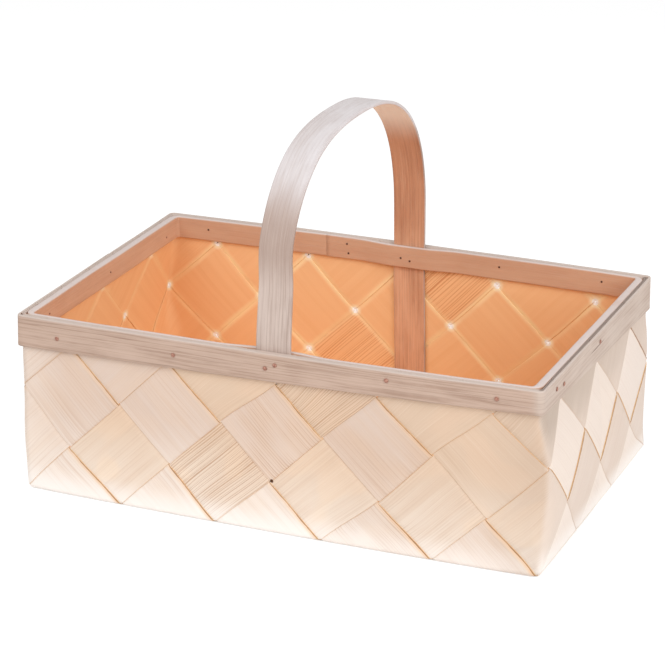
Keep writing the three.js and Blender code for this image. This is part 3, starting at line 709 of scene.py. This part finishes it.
def hoop(name, face, radius, thicknesses, low_at, lap_point, lap_axis, pale_side, relief_seed, swell=None):
    """A strip on edge, bent round the rim, its ends shaved thin where they overlap.

    Each row joins a point of the outer line to the one inside it. Along the lap the first end keeps the
    outer face and the last end the inner one, with a straight sloping joint between them. The mark pale
    is 1 on the side at the pale_side end of x.
    """
    outer = rim_line(face, radius, (0, 0), swell)
    inner = rim_line(face, radius, thicknesses, swell)
    thickness = thicknesses[lap_axis]
    closed = np.concatenate([outer, outer[:1]])
    length = np.concatenate([[0], np.cumsum(np.linalg.norm(np.diff(closed, axis=0), axis=1))])
    around = length[-1]
    start = length[np.linalg.norm(outer - np.array(lap_point), axis=1).argmin()] - LAP_LENGTH / 2
    overlap = LAP_LENGTH * (thickness - LAP_GAP - 2 * LAP_TIP) / (thickness - LAP_TIP)
    place = np.linspace(0, around + overlap, int(around / HOOP_STEP))
    corners = np.array([(1, 1), (-1, 1), (-1, -1), (1, -1)]) * np.array(face)
    at_corner = np.concatenate([
        length[np.linalg.norm(outer - corner, axis=1).argmin()] + CORNER_ROWS for corner in corners])
    place = np.unique(np.concatenate([place, (at_corner - start) % around]).round(6))
    here = (start + place) % around

    def along(line):
        closed_line = np.concatenate([line, line[:1]])
        return np.stack([np.interp(here, length, closed_line[:, k]) for k in (0, 1)], axis=-1)

    out_line, in_line = along(outer), along(inner)
    slope = (thickness - LAP_TIP) / LAP_LENGTH
    inner_share = np.minimum(LAP_TIP + slope * place, thickness) / thickness
    from_end = place - around
    outer_share = np.where(from_end > 0, LAP_TIP + LAP_GAP + slope * from_end, 0) / thickness
    before_end = (LAP_TIP + LAP_GAP) * (1 + from_end / LAP_RAMP) / thickness
    outer_share = np.where((from_end <= 0) & (from_end > -LAP_RAMP), before_end, outer_share)
    faces_at = np.stack([outer_share, inner_share], axis=-1)
    across, up = strip_profile(1.0, 1.0, HOOP_COLUMNS, EDGE_SHARE)
    rise = across + 0.5
    through = 0.5 - up
    rng = np.random.default_rng(relief_seed)
    ridges = 0
    for count, share in HOOP_RIDGES:
        shift = count * rise[None] + rng.uniform() + 0.4 * np.sin(place[:, None] * rng.uniform(3, 9))
        ridges = ridges + np.sin(2 * np.pi * shift) * share
    ridge_share = HOOP_RIDGE_DEPTH / thickness * ridges * np.sin(np.pi * rise) * np.sign(through - 0.5)
    depth = faces_at[:, :1] + (faces_at[:, 1:] - faces_at[:, :1]) * through + ridge_share
    depth = np.clip(depth, 0.0, 1.0) if swell is None else depth
    level = out_line[:, None] + (in_line - out_line)[:, None] * depth[..., None]
    low = low_at(level[..., 0], level[..., 1])
    wander = sum(deep * np.sin(place * rate + begin)[:, None] for deep, rate, begin in HOOP_EDGE_WAVES)
    z = low + (HOOP_TOP + wander - low) * rise
    x, y = level[..., 0], level[..., 1]
    points = np.stack([x + corner_out(x, y, z), y, z + rim_lift(x, y)], axis=-1)
    grain = np.stack(np.broadcast_arrays(place[:, None], z), axis=-1)
    pale = ease((np.abs(x) - face[0] + PALE_SIDE_START) / PALE_SIDE_RUN) * (np.sign(x) == pale_side)
    piece = closed_mesh(name, points, {"grain": grain}, {
        "outer": np.where(up > 0, 1.0, 0.0),
        "top": np.clip((rise - TOP_FACE_SHARE) / EDGE_SHARE, 0, 1),
        "pale": pale, "smooth": PALE_SIDE_SMOOTH * pale, "painted_shade": 0.0,
    })
    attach(piece, "root")
    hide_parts(name)
    return piece


def outer_low(x, y):
    """The outer hoop's lower edge: highest at the front right corner, and lowest at the back right one."""
    right = np.clip((x / HALF_BASE[0] + 1) / 2, 0, 1)
    front = np.clip((1 - y / HALF_BASE[1]) / 2, 0, 1)
    low = OUTER_HOOP_LOW + right * (OUTER_HOOP_NARROWING * front - OUTER_HOOP_WIDENING * (1 - front))
    return low - OUTER_HOOP_LEFT_DROP * (1 - right) * front


CRACK = sketch(104, 80, 68)
OUTER_HOOP_WOOD = palette(
    outer=(201, 174, 157), outer_pale=(207, 189, 176), outer_line=(160, 130, 112),
    inner=(206, 172, 146), inner_pale=(206, 172, 146), inner_line=(176, 138, 112), top=(206, 190, 180),
)


def sawn_wood(name, wood, spacing, strength, crack=0.0):
    """Sawn wood: uneven growth lines along the strip, finer ones between, short fine cracks, and pores.

    spacing is from line to line in mm. The mark pale turns each face to its second colour, which on the inner
    hoop's and the handle's inner faces is painted light, smooth takes its lines away, a third mark darkens
    it with painted shade, and top gives the colour of the upper edge, and on the handle's inner face a
    painted highlight at its top.
    """
    n = Nodes(bpy.data.materials.new(name))
    grain = n.uv("grain")
    across = n.times(n.add("SeparateXYZ", {0: grain}, output=1), 1000 / spacing)
    warp = n.noise(grain, 5, 90)
    uneven = n.noise(grain, 1.5, 210)
    phase = n.linear(warp, 2.6, n.linear(uneven, 3.2, across))
    rings = n.spread(n.math("SINE", n.times(phase, 2 * math.pi)), -0.1, 1.0)
    fine = n.spread(n.math("SINE", n.times(phase, 5.4 * math.pi)), 0.0, 1.0, 0.0, 0.45)
    mottled = n.noise(grain, 16, 60)
    lines = n.times(n.math("MAXIMUM", rings, fine), n.spread(mottled, 0.3, 0.65, 0.3 * strength, strength),
                    n.spread(n.mark("smooth"), 0.0, 1.0, 1.0, 0.3))
    fibres = n.noise(grain, 22, 1400, 4.0, 0.7)
    cloudy = n.spread(mottled, 0.3, 0.7, 0.0, 0.25)
    outside = n.mix(cloudy, n.mix(n.mark("pale"), wood.outer, wood.outer_pale), wood.outer_line)
    outside = n.mix(lines, outside, wood.outer_line)
    inside = n.mix(cloudy, n.mix(n.mark("pale"), wood.inner, wood.inner_pale), wood.inner_line)
    inside = n.mix(n.times(lines, 0.6), inside, wood.inner_line)
    colour = n.mix(n.mark("outer"), inside, outside)
    # Painted shade, on the handle's outer face.
    colour = n.mix(n.mark("painted_shade"), colour, wood.outer_line)
    colour = n.mix(n.mark("top"), colour, wood.top)
    colour = n.mix(n.spread(fibres, 0.5, 0.8, 0.0, 0.35), colour, wood.outer_line)
    colour = n.mix(n.spread(fibres, 0.5, 0.25, 0.0, 0.2), colour, wood.top)
    cracks = n.spread(n.noise(grain, 9, 330, 1.0), 0.7, 0.78, 0.0, crack)
    colour = n.mix(cracks, colour, CRACK)
    relief = n.linear(lines, -0.7, fibres)
    return n.finish(colour, WOOD_ROUGHNESS, relief, SAWN_RELIEF)


outer_hoop = hoop("outer_hoop", OUTER_HOOP_FACE, OUTER_HOOP_CORNER,
                  (OUTER_HOOP_THICKNESS, OUTER_HOOP_SIDE_THICKNESS), outer_low,
                  (-OUTER_HOOP_FACE[0], OUTER_HOOP_LAP_Y), lap_axis=0, pale_side=1, relief_seed=1)
outer_wood = sawn_wood("outer_hoop_wood", OUTER_HOOP_WOOD, 3.4, 0.7, 0.8)
wood_of([outer_hoop], outer_wood)


# The inner hoop

# A second, narrower strip bent round the inside of the rim. It clamps the splints' ends against the
# outer hoop, and swells inwards over the handle's two legs, which stand between it and the wall.

INNER_HOOP_LOW = 136.5 * MM
INNER_HOOP_BACK_LOW = 137.7 * MM
INNER_HOOP_THICKNESS = 3.4 * MM
INNER_HOOP_END_THICKNESS = 6.4 * MM
INNER_HOOP_FACE = (226.65 * MM, 133.65 * MM)
INNER_HOOP_CORNER = 8.7 * MM
INNER_HOOP_LAP_X = -50 * MM
FRONT_LEG_WIDTH = 30 * MM
BACK_LEG_WIDTH = 29.3 * MM
BACK_LEG_RIGHT = 1.6 * MM
FRONT_LEG_LEAN = 3.3 * MM
BACK_LEG_LEAN = 3 * MM
LEAN_TOP = 215 * MM
LEG_CLEARANCE = 0.3 * MM
SWELL_DEPTH = 3.3 * MM
SWELL_RUN = 34 * MM
HANDLE_SHIFT = 7.3 * MM
HANDLE_SKEW = 1.3 * MM
# The inner face has painted light and shade: its paler colour on the left side, the darker one elsewhere.
INNER_HOOP_WOOD = palette(
    outer=(222, 180, 150), outer_pale=(222, 180, 150), outer_line=(190, 140, 110),
    inner=(211, 168, 138), inner_pale=(228, 184, 154), inner_line=(190, 134, 104), top=(216, 201, 195),
)


def leg_lean(way, level):
    """How far left a leg stands at a level: the front one leans down to the rim, the back one to its foot."""
    front = FRONT_LEG_LEAN * ease((LEAN_TOP - level) / (LEAN_TOP - RIM_HEIGHT))
    back = BACK_LEG_LEAN * np.clip((LEAN_TOP - level) / LEAN_TOP, 0, 1)
    return np.where(way < 0, front, back)


def leg_swell(x, way):
    """How far the strip stands inwards: the leg's thickness across the leg, easing to nothing either side."""
    centre = HANDLE_SHIFT + way * HANDLE_SKEW / 2 - leg_lean(way, RIM_HEIGHT) + BACK_LEG_RIGHT * (way > 0)
    width = FRONT_LEG_WIDTH if way < 0 else BACK_LEG_WIDTH
    beside = np.abs(x - centre) - width / 2 - LEG_CLEARANCE
    return SWELL_DEPTH * (1 - ease(beside / SWELL_RUN))


def inner_low(x, y):
    """The inner hoop's lower edge, a little higher along the back."""
    back = np.clip((1 + y / HALF_BASE[1]) / 2, 0, 1)
    return INNER_HOOP_LOW + (INNER_HOOP_BACK_LOW - INNER_HOOP_LOW) * back


inner_hoop = hoop("inner_hoop", INNER_HOOP_FACE, INNER_HOOP_CORNER,
                  (INNER_HOOP_END_THICKNESS, INNER_HOOP_THICKNESS), inner_low,
                  (INNER_HOOP_LAP_X, INNER_HOOP_FACE[1]), lap_axis=1, pale_side=-1, relief_seed=2,
                  swell=leg_swell)
inner_wood = sawn_wood("inner_hoop_wood", INNER_HOOP_WOOD, 5.5, 0.3)
wood_of([inner_hoop], inner_wood)


# The handle

# One long strip, steamed and bent to an arch. Its legs go down between the inner hoop and the walls,
# almost to the base, and are nailed through both hoops. It is widest at the top.

HANDLE_WIDTH = 30 * MM
HANDLE_THICKNESS = 3 * MM
HANDLE_FOOT = 11.1 * MM
ARCH_FOOT = 188.5 * MM
ARCH_RISE = 131 * MM
BACK_ARCH_POWER = 2.56
FRONT_ARCH_POWER = 2.32
HANDLE_STEP = 3 * MM
HANDLE_COLUMNS = 26
HANDLE_ARCH_STEPS = 120
LEG_FROM_MIDDLE = 20.95 * MM
FRONT_FADE = 60 * MM
FRONT_WAIST = 1.2 * MM
WAIST_LEVEL = 240 * MM
WAIST_REACH = 75 * MM
FRONT_ARCH_LEFT = 2.2 * MM
# How far above the rim the inner face's painted orange light fades out.
ORANGE_INSIDE_RUN = 30 * MM

# Levels where something begins and how far it takes to grow, and then where it ends and fades.
ARCH_LEFT_BAND = (212 * MM, 35 * MM, 302 * MM, 30 * MM)
# A band of painted shade on the outer face.
PAINTED_SHADE_BAND = (205 * MM, 35 * MM, 255 * MM, 40 * MM)
PALE_OUTSIDE = (235 * MM, 60 * MM)
# Where the inner face's painted highlight begins.
LIT_INSIDE = (258 * MM, 40 * MM)

# Grooves along the strip: how many across it, where they begin, how fast they wander, and their share.
HANDLE_GROOVES = ((4, 0.1, 9, 0.4), (9, 0.6, 15, 0.4), (15, 0.3, 23, 0.3))
GROOVE_DEPTH = 0.07 * MM
GROOVE_MIDDLE = 1.1
# The inner face is painted light and shade: orange-brown shade above the rim, paler orange light from the
# basket's inside below it, and a painted highlight at the arch's top.
HANDLE_WOOD = palette(
    outer=(207, 189, 179), outer_pale=(222, 216, 217), outer_line=(166, 142, 130),
    inner=(206, 150, 116), inner_pale=(228, 176, 141), inner_line=(154, 94, 64), top=(255, 242, 226),
)


def leg_reach(level):
    """How far from the middle a leg stands at a level: against the wall's inner face, which it follows."""
    height = np.minimum(level - WALL_HALF, WALL_RISE)
    wall = HALF_BASE[1] + bow_at(LEG_FROM_MIDDLE, height) + long_wall_out(LEG_FROM_MIDDLE, height)
    return wall - WALL_HALF - LEG_CLEARANCE - HANDLE_THICKNESS / 2


def handle_line():
    """The strip's middle line as (y, z): up the front leg, over a superellipse arch and down the back leg."""
    leg = np.linspace(HANDLE_FOOT, ARCH_FOOT, int((ARCH_FOOT - HANDLE_FOOT) / HANDLE_STEP))
    reach = leg_reach(ARCH_FOOT)
    angle = np.linspace(0, np.pi / 2, HANDLE_ARCH_STEPS)[1:]

    def arch(power):
        return reach * np.cos(angle) ** (2 / power), ARCH_FOOT + ARCH_RISE * np.sin(angle) ** (2 / power)

    front_y, front_z = arch(FRONT_ARCH_POWER)
    back_y, back_z = arch(BACK_ARCH_POWER)
    y = np.concatenate([-leg_reach(leg), -front_y[:-1], back_y[::-1], leg_reach(leg)[::-1]])
    z = np.concatenate([leg, front_z[:-1], back_z[::-1], leg[::-1]])
    line = np.stack([y, z], axis=-1)
    length = np.concatenate([[0], np.cumsum(np.linalg.norm(np.diff(line, axis=0), axis=1))])
    place = np.linspace(0, length[-1], int(length[-1] / HANDLE_STEP))
    return place, np.stack([np.interp(place, length, line[:, k]) for k in (0, 1)], axis=-1)


def band(level, first, rise, last, fall):
    """1 in a band of levels, easing in from 0 over rise, and out again over fall from the last level."""
    return ease((level - first) / rise) * (1 - ease((level - last) / fall))


def bent_handle():
    """The handle: a flat cross-section carried square to its middle line, with shallow grooves along it.

    The strip narrows towards its legs as a sine of the height above the rim, and has a waist in front.
    """
    place, line = handle_line()
    step = np.gradient(line, place, axis=0)
    step /= np.linalg.norm(step, axis=1, keepdims=True)
    outward = np.stack([-step[:, 1], step[:, 0]], axis=-1)
    rise = np.clip((line[:, 1] - RIM_HEIGHT) / ARCH_RISE, 0, 1)
    leg = np.where(line[:, 0] < 0, FRONT_LEG_WIDTH, BACK_LEG_WIDTH)
    front = ease(-line[:, 0] / FRONT_FADE)
    waist = FRONT_WAIST * ease(1 - np.abs(line[:, 1] - WAIST_LEVEL) / WAIST_REACH) * front
    width = leg + (HANDLE_WIDTH - leg) * np.sin(np.pi / 2 * rise) - waist
    across, up = strip_profile(1.0, HANDLE_THICKNESS, HANDLE_COLUMNS, EDGE_SHARE)
    groove = 0
    for count, begin, rate, share in HANDLE_GROOVES:
        shift = count * across[None] + begin + 0.25 * np.sin(place[:, None] * rate)
        groove = groove + np.sin(2 * np.pi * shift) * share
    groove = GROOVE_DEPTH * (groove - GROOVE_MIDDLE) * (1 - np.abs(2 * across) ** 6)
    height = up + groove * np.sign(up)
    yz = line[:, None] + outward[:, None] * height[..., None]
    to_right = BACK_LEG_RIGHT * np.clip(line[:, 0] / leg_reach(RIM_HEIGHT), 0, 1) - waist / 2
    arch = band(line[:, 1], *ARCH_LEFT_BAND)
    middle = HANDLE_SHIFT - leg_lean(line[:, 0], line[:, 1]) + to_right - FRONT_ARCH_LEFT * arch * front
    x = middle[:, None] + across * width[:, None] + HANDLE_SKEW / (2 * leg_reach(RIM_HEIGHT)) * yz[..., 0]
    points = np.stack([x, yz[..., 0], yz[..., 1]], axis=-1)
    grain = np.stack(np.broadcast_arrays(place[:, None], across * HANDLE_WIDTH + 0.5), axis=-1)
    outer = np.where(up > -0.9 * up.max(), 1.0, 0.0)
    level = line[:, 1:]
    above = ease((level - PALE_OUTSIDE[0]) / PALE_OUTSIDE[1])
    piece = closed_mesh("handle", points, {"grain": grain}, {
        "outer": outer,
        # Painted light on the inner face below the rim, painted shade in the outer face's middle, and a
        # painted highlight on the inner face at the arch's top.
        "pale": np.where(outer > 0, above, 1 - ease((level - RIM_HEIGHT) / ORANGE_INSIDE_RUN)),
        "smooth": above * outer,
        "painted_shade": 0.75 * band(level, *PAINTED_SHADE_BAND) * outer,
        "top": (1 - outer) * ease((level - LIT_INSIDE[0]) / LIT_INSIDE[1]),
    })
    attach(piece, "root")
    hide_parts("handle")
    return piece


handle = bent_handle()
handle_wood = sawn_wood("handle_wood", HANDLE_WOOD, 4.0, 0.6)
wood_of([handle], handle_wood)


# The nails

# Small round-headed nails of dull brown steel, driven from outside through both hoops. Their tips
# just show as dark dots on the inner hoop, except on the left side, where no dots are seen.

NAIL_TURNS = 16
NAIL_STEEL = palette(head=(186, 138, 120), rust=(136, 90, 74), tip=(92, 58, 44))
NAIL_RELIEF = 0.1 * MM
NAILS = {"front": 6, "back": 7, "right": 3, "left": 3}
NAIL_PROFILE = np.array([(0.0, 0.0), (0.06, 0.7), (0.3, 1.5), (0.62, 1.88), (0.8, 1.8), (0.82, 0.85)]) * MM
NAIL_TIP = np.array([(0.6, 0.95), (0.12, 0.85), (0.0, 0.0)]) * MM


def nail(name, side):
    """A nail turned about its own axis: a low dome, a straight shank and a blunt point."""
    low, high = (np.array(corner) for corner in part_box(name))
    axis = 1 if side in ("front", "back") else 0
    way = 1 if side in ("front", "left") else -1
    head = low[axis] if way > 0 else high[axis]
    tip = high[axis] if way > 0 else low[axis]
    depth = np.concatenate([head + way * NAIL_PROFILE[:, 0], tip - way * NAIL_TIP[:, 0]])
    radius = np.concatenate([NAIL_PROFILE[:, 1], NAIL_TIP[:, 1]])
    turn = np.arange(NAIL_TURNS) * 2 * np.pi / NAIL_TURNS
    centre = (low + high) / 2
    ring = np.empty((len(depth), NAIL_TURNS, 3))
    ring[..., axis] = depth[:, None]
    ring[..., 1 - axis] = centre[1 - axis] + radius[:, None] * np.cos(turn)
    ring[..., 2] = centre[2] + radius[:, None] * np.sin(turn)
    points = np.concatenate([ring[0, :1], ring[1:-1].reshape(-1, 3), ring[-1, :1]])
    index = 1 + np.arange((len(depth) - 2) * NAIL_TURNS).reshape(-1, NAIL_TURNS)
    beside = np.roll(index, -1, axis=1)
    faces = [(0, b, a) for a, b in zip(index[0], beside[0])]
    quads = np.stack([index[:-1], beside[:-1], beside[1:], index[1:]], axis=-1)
    faces += quads.reshape(-1, 4).tolist()
    faces += [(len(points) - 1, a, b) for a, b in zip(index[-1], beside[-1])]
    if side == "left":
        points[:, 0] += corner_out(*points.T)
    mesh = bpy.data.meshes.new(name)
    flip = (axis == 1) != (way > 0)
    mesh.from_pydata(points, [], [face[::-1] for face in faces] if flip else faces)
    buried = np.abs(points[:, axis] - head) / abs(tip - head)
    dark_tip = (buried > 0.5) & (side != "left")
    mesh.attributes.new("tip", "FLOAT", "POINT").data.foreach_set("value", dark_tip.astype(np.float32))
    mesh.shade_smooth()
    piece = in_scene(name, mesh)
    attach(piece, "root")
    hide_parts(name)
    return piece


def nail_steel():
    """Dull brown steel with specks of rust."""
    n = Nodes(bpy.data.materials.new("nail_steel"))
    place = n.add("TexCoord", output="Object")
    specks = n.noise(place, 1400, 1400)
    colour = n.mix(n.spread(specks, 0.4, 0.65), NAIL_STEEL.head, NAIL_STEEL.rust)
    colour = n.mix(n.mark("tip"), colour, NAIL_STEEL.tip)
    return n.finish(colour, n.spread(specks, 0.3, 0.7, 0.35, 0.6), specks, NAIL_RELIEF)


nails = [nail(f"{side}_nail_{number + 1}", side) for side, count in NAILS.items() for number in range(count)]
wood_of(nails, nail_steel())


# Camera

# A long lens from the front right, a little above the basket, as the photograph was taken.

CAMERA_PLACE = (0.7966755, -1.7807994, 0.8732372)
CAMERA_TURNS = ((0.4237084, "Z"), (1.2044208, "X"), (-0.0178714, "Z"))
FOCAL_PIXELS = 2463.6455
PHOTO_PIXELS = 665
SENSOR_WIDTH = 36

camera = in_scene("camera", bpy.data.cameras.new("camera"))
camera_place = Matrix.Translation(CAMERA_PLACE)
for angle, axis in CAMERA_TURNS:
    camera_place = camera_place @ Matrix.Rotation(angle, 4, axis)
camera.matrix_world = camera_place
camera.data.lens = FOCAL_PIXELS / PHOTO_PIXELS * SENSOR_WIDTH
camera.data.sensor_width = SENSOR_WIDTH
bpy.context.scene.camera = camera


# Floor, background and light

# A white sweep under soft, even studio light from above and the front. To the camera it is plain
# white, apart from the basket's own shadow.

FLOOR_REACH = 6
FLOOR_GLOW = 0.35
SOFT_SKY = 0.62
WHITE = (1, 1, 1, 1)
FLOOR_WHITE = (0.88, 0.88, 0.88, 1)
LAMP_TARGET = (0, 0, 0.1)

floor_mesh = bpy.data.meshes.new("floor")
floor_corners = [(FLOOR_REACH * x, FLOOR_REACH * y, 0) for x, y in ((-1, -1), (1, -1), (1, 1), (-1, 1))]
floor_mesh.from_pydata(floor_corners, [], [(0, 1, 2, 3)])
floor = in_scene("floor", floor_mesh)


def seen_straight(n):
    """1 for a ray from the camera, or one that a glossy or clear surface sends on, and 0 for the rest."""
    kinds = ("Camera", "Glossy", "Transmission")
    camera_ray, glossy, clear = (n.add("LightPath", output=f"Is {kind} Ray") for kind in kinds)
    return n.math("MAXIMUM", camera_ray, n.math("MAXIMUM", glossy, clear))


def floor_paint():
    """White paint that keeps the shadow, and looks fully white to the camera where nothing shades it."""
    n = Nodes(bpy.data.materials.new("floor_paint"))
    paint = n.add("BsdfDiffuse", {"Color": FLOOR_WHITE})
    glow = n.add("Emission", {"Color": WHITE, "Strength": n.times(seen_straight(n), FLOOR_GLOW)})
    return n.surface(n.add("AddShader", {0: paint, 1: glow}))


floor_mesh.materials.append(floor_paint())

n = Nodes(bpy.data.worlds.new("studio"))
soft = n.add("Background", {"Color": WHITE, "Strength": SOFT_SKY})
white = n.add("Background", {"Color": WHITE, "Strength": 1.0})
sky = n.add("MixShader", {0: seen_straight(n), 1: soft, 2: white})
bpy.context.scene.world = n.surface(sky, "World")

# Each lamp's place and size in metres, and its power in watts.
for title, place, size, power in (
    ("key", (-0.9, -1.6, 1.9), 1.6, 20),
    ("fill", (1.7, -1.0, 1.2), 1.4, 22),
):
    lamp = in_scene(title, bpy.data.lights.new(title, "AREA"))
    lamp.data.shape = "SQUARE"
    lamp.data.size = size
    lamp.data.energy = power
    towards = Vector(LAMP_TARGET) - Vector(place)
    lamp.matrix_world = Matrix.Translation(place) @ towards.to_track_quat("-Z", "Y").to_matrix().to_4x4()

bpy.context.scene.view_settings.view_transform = "Standard"
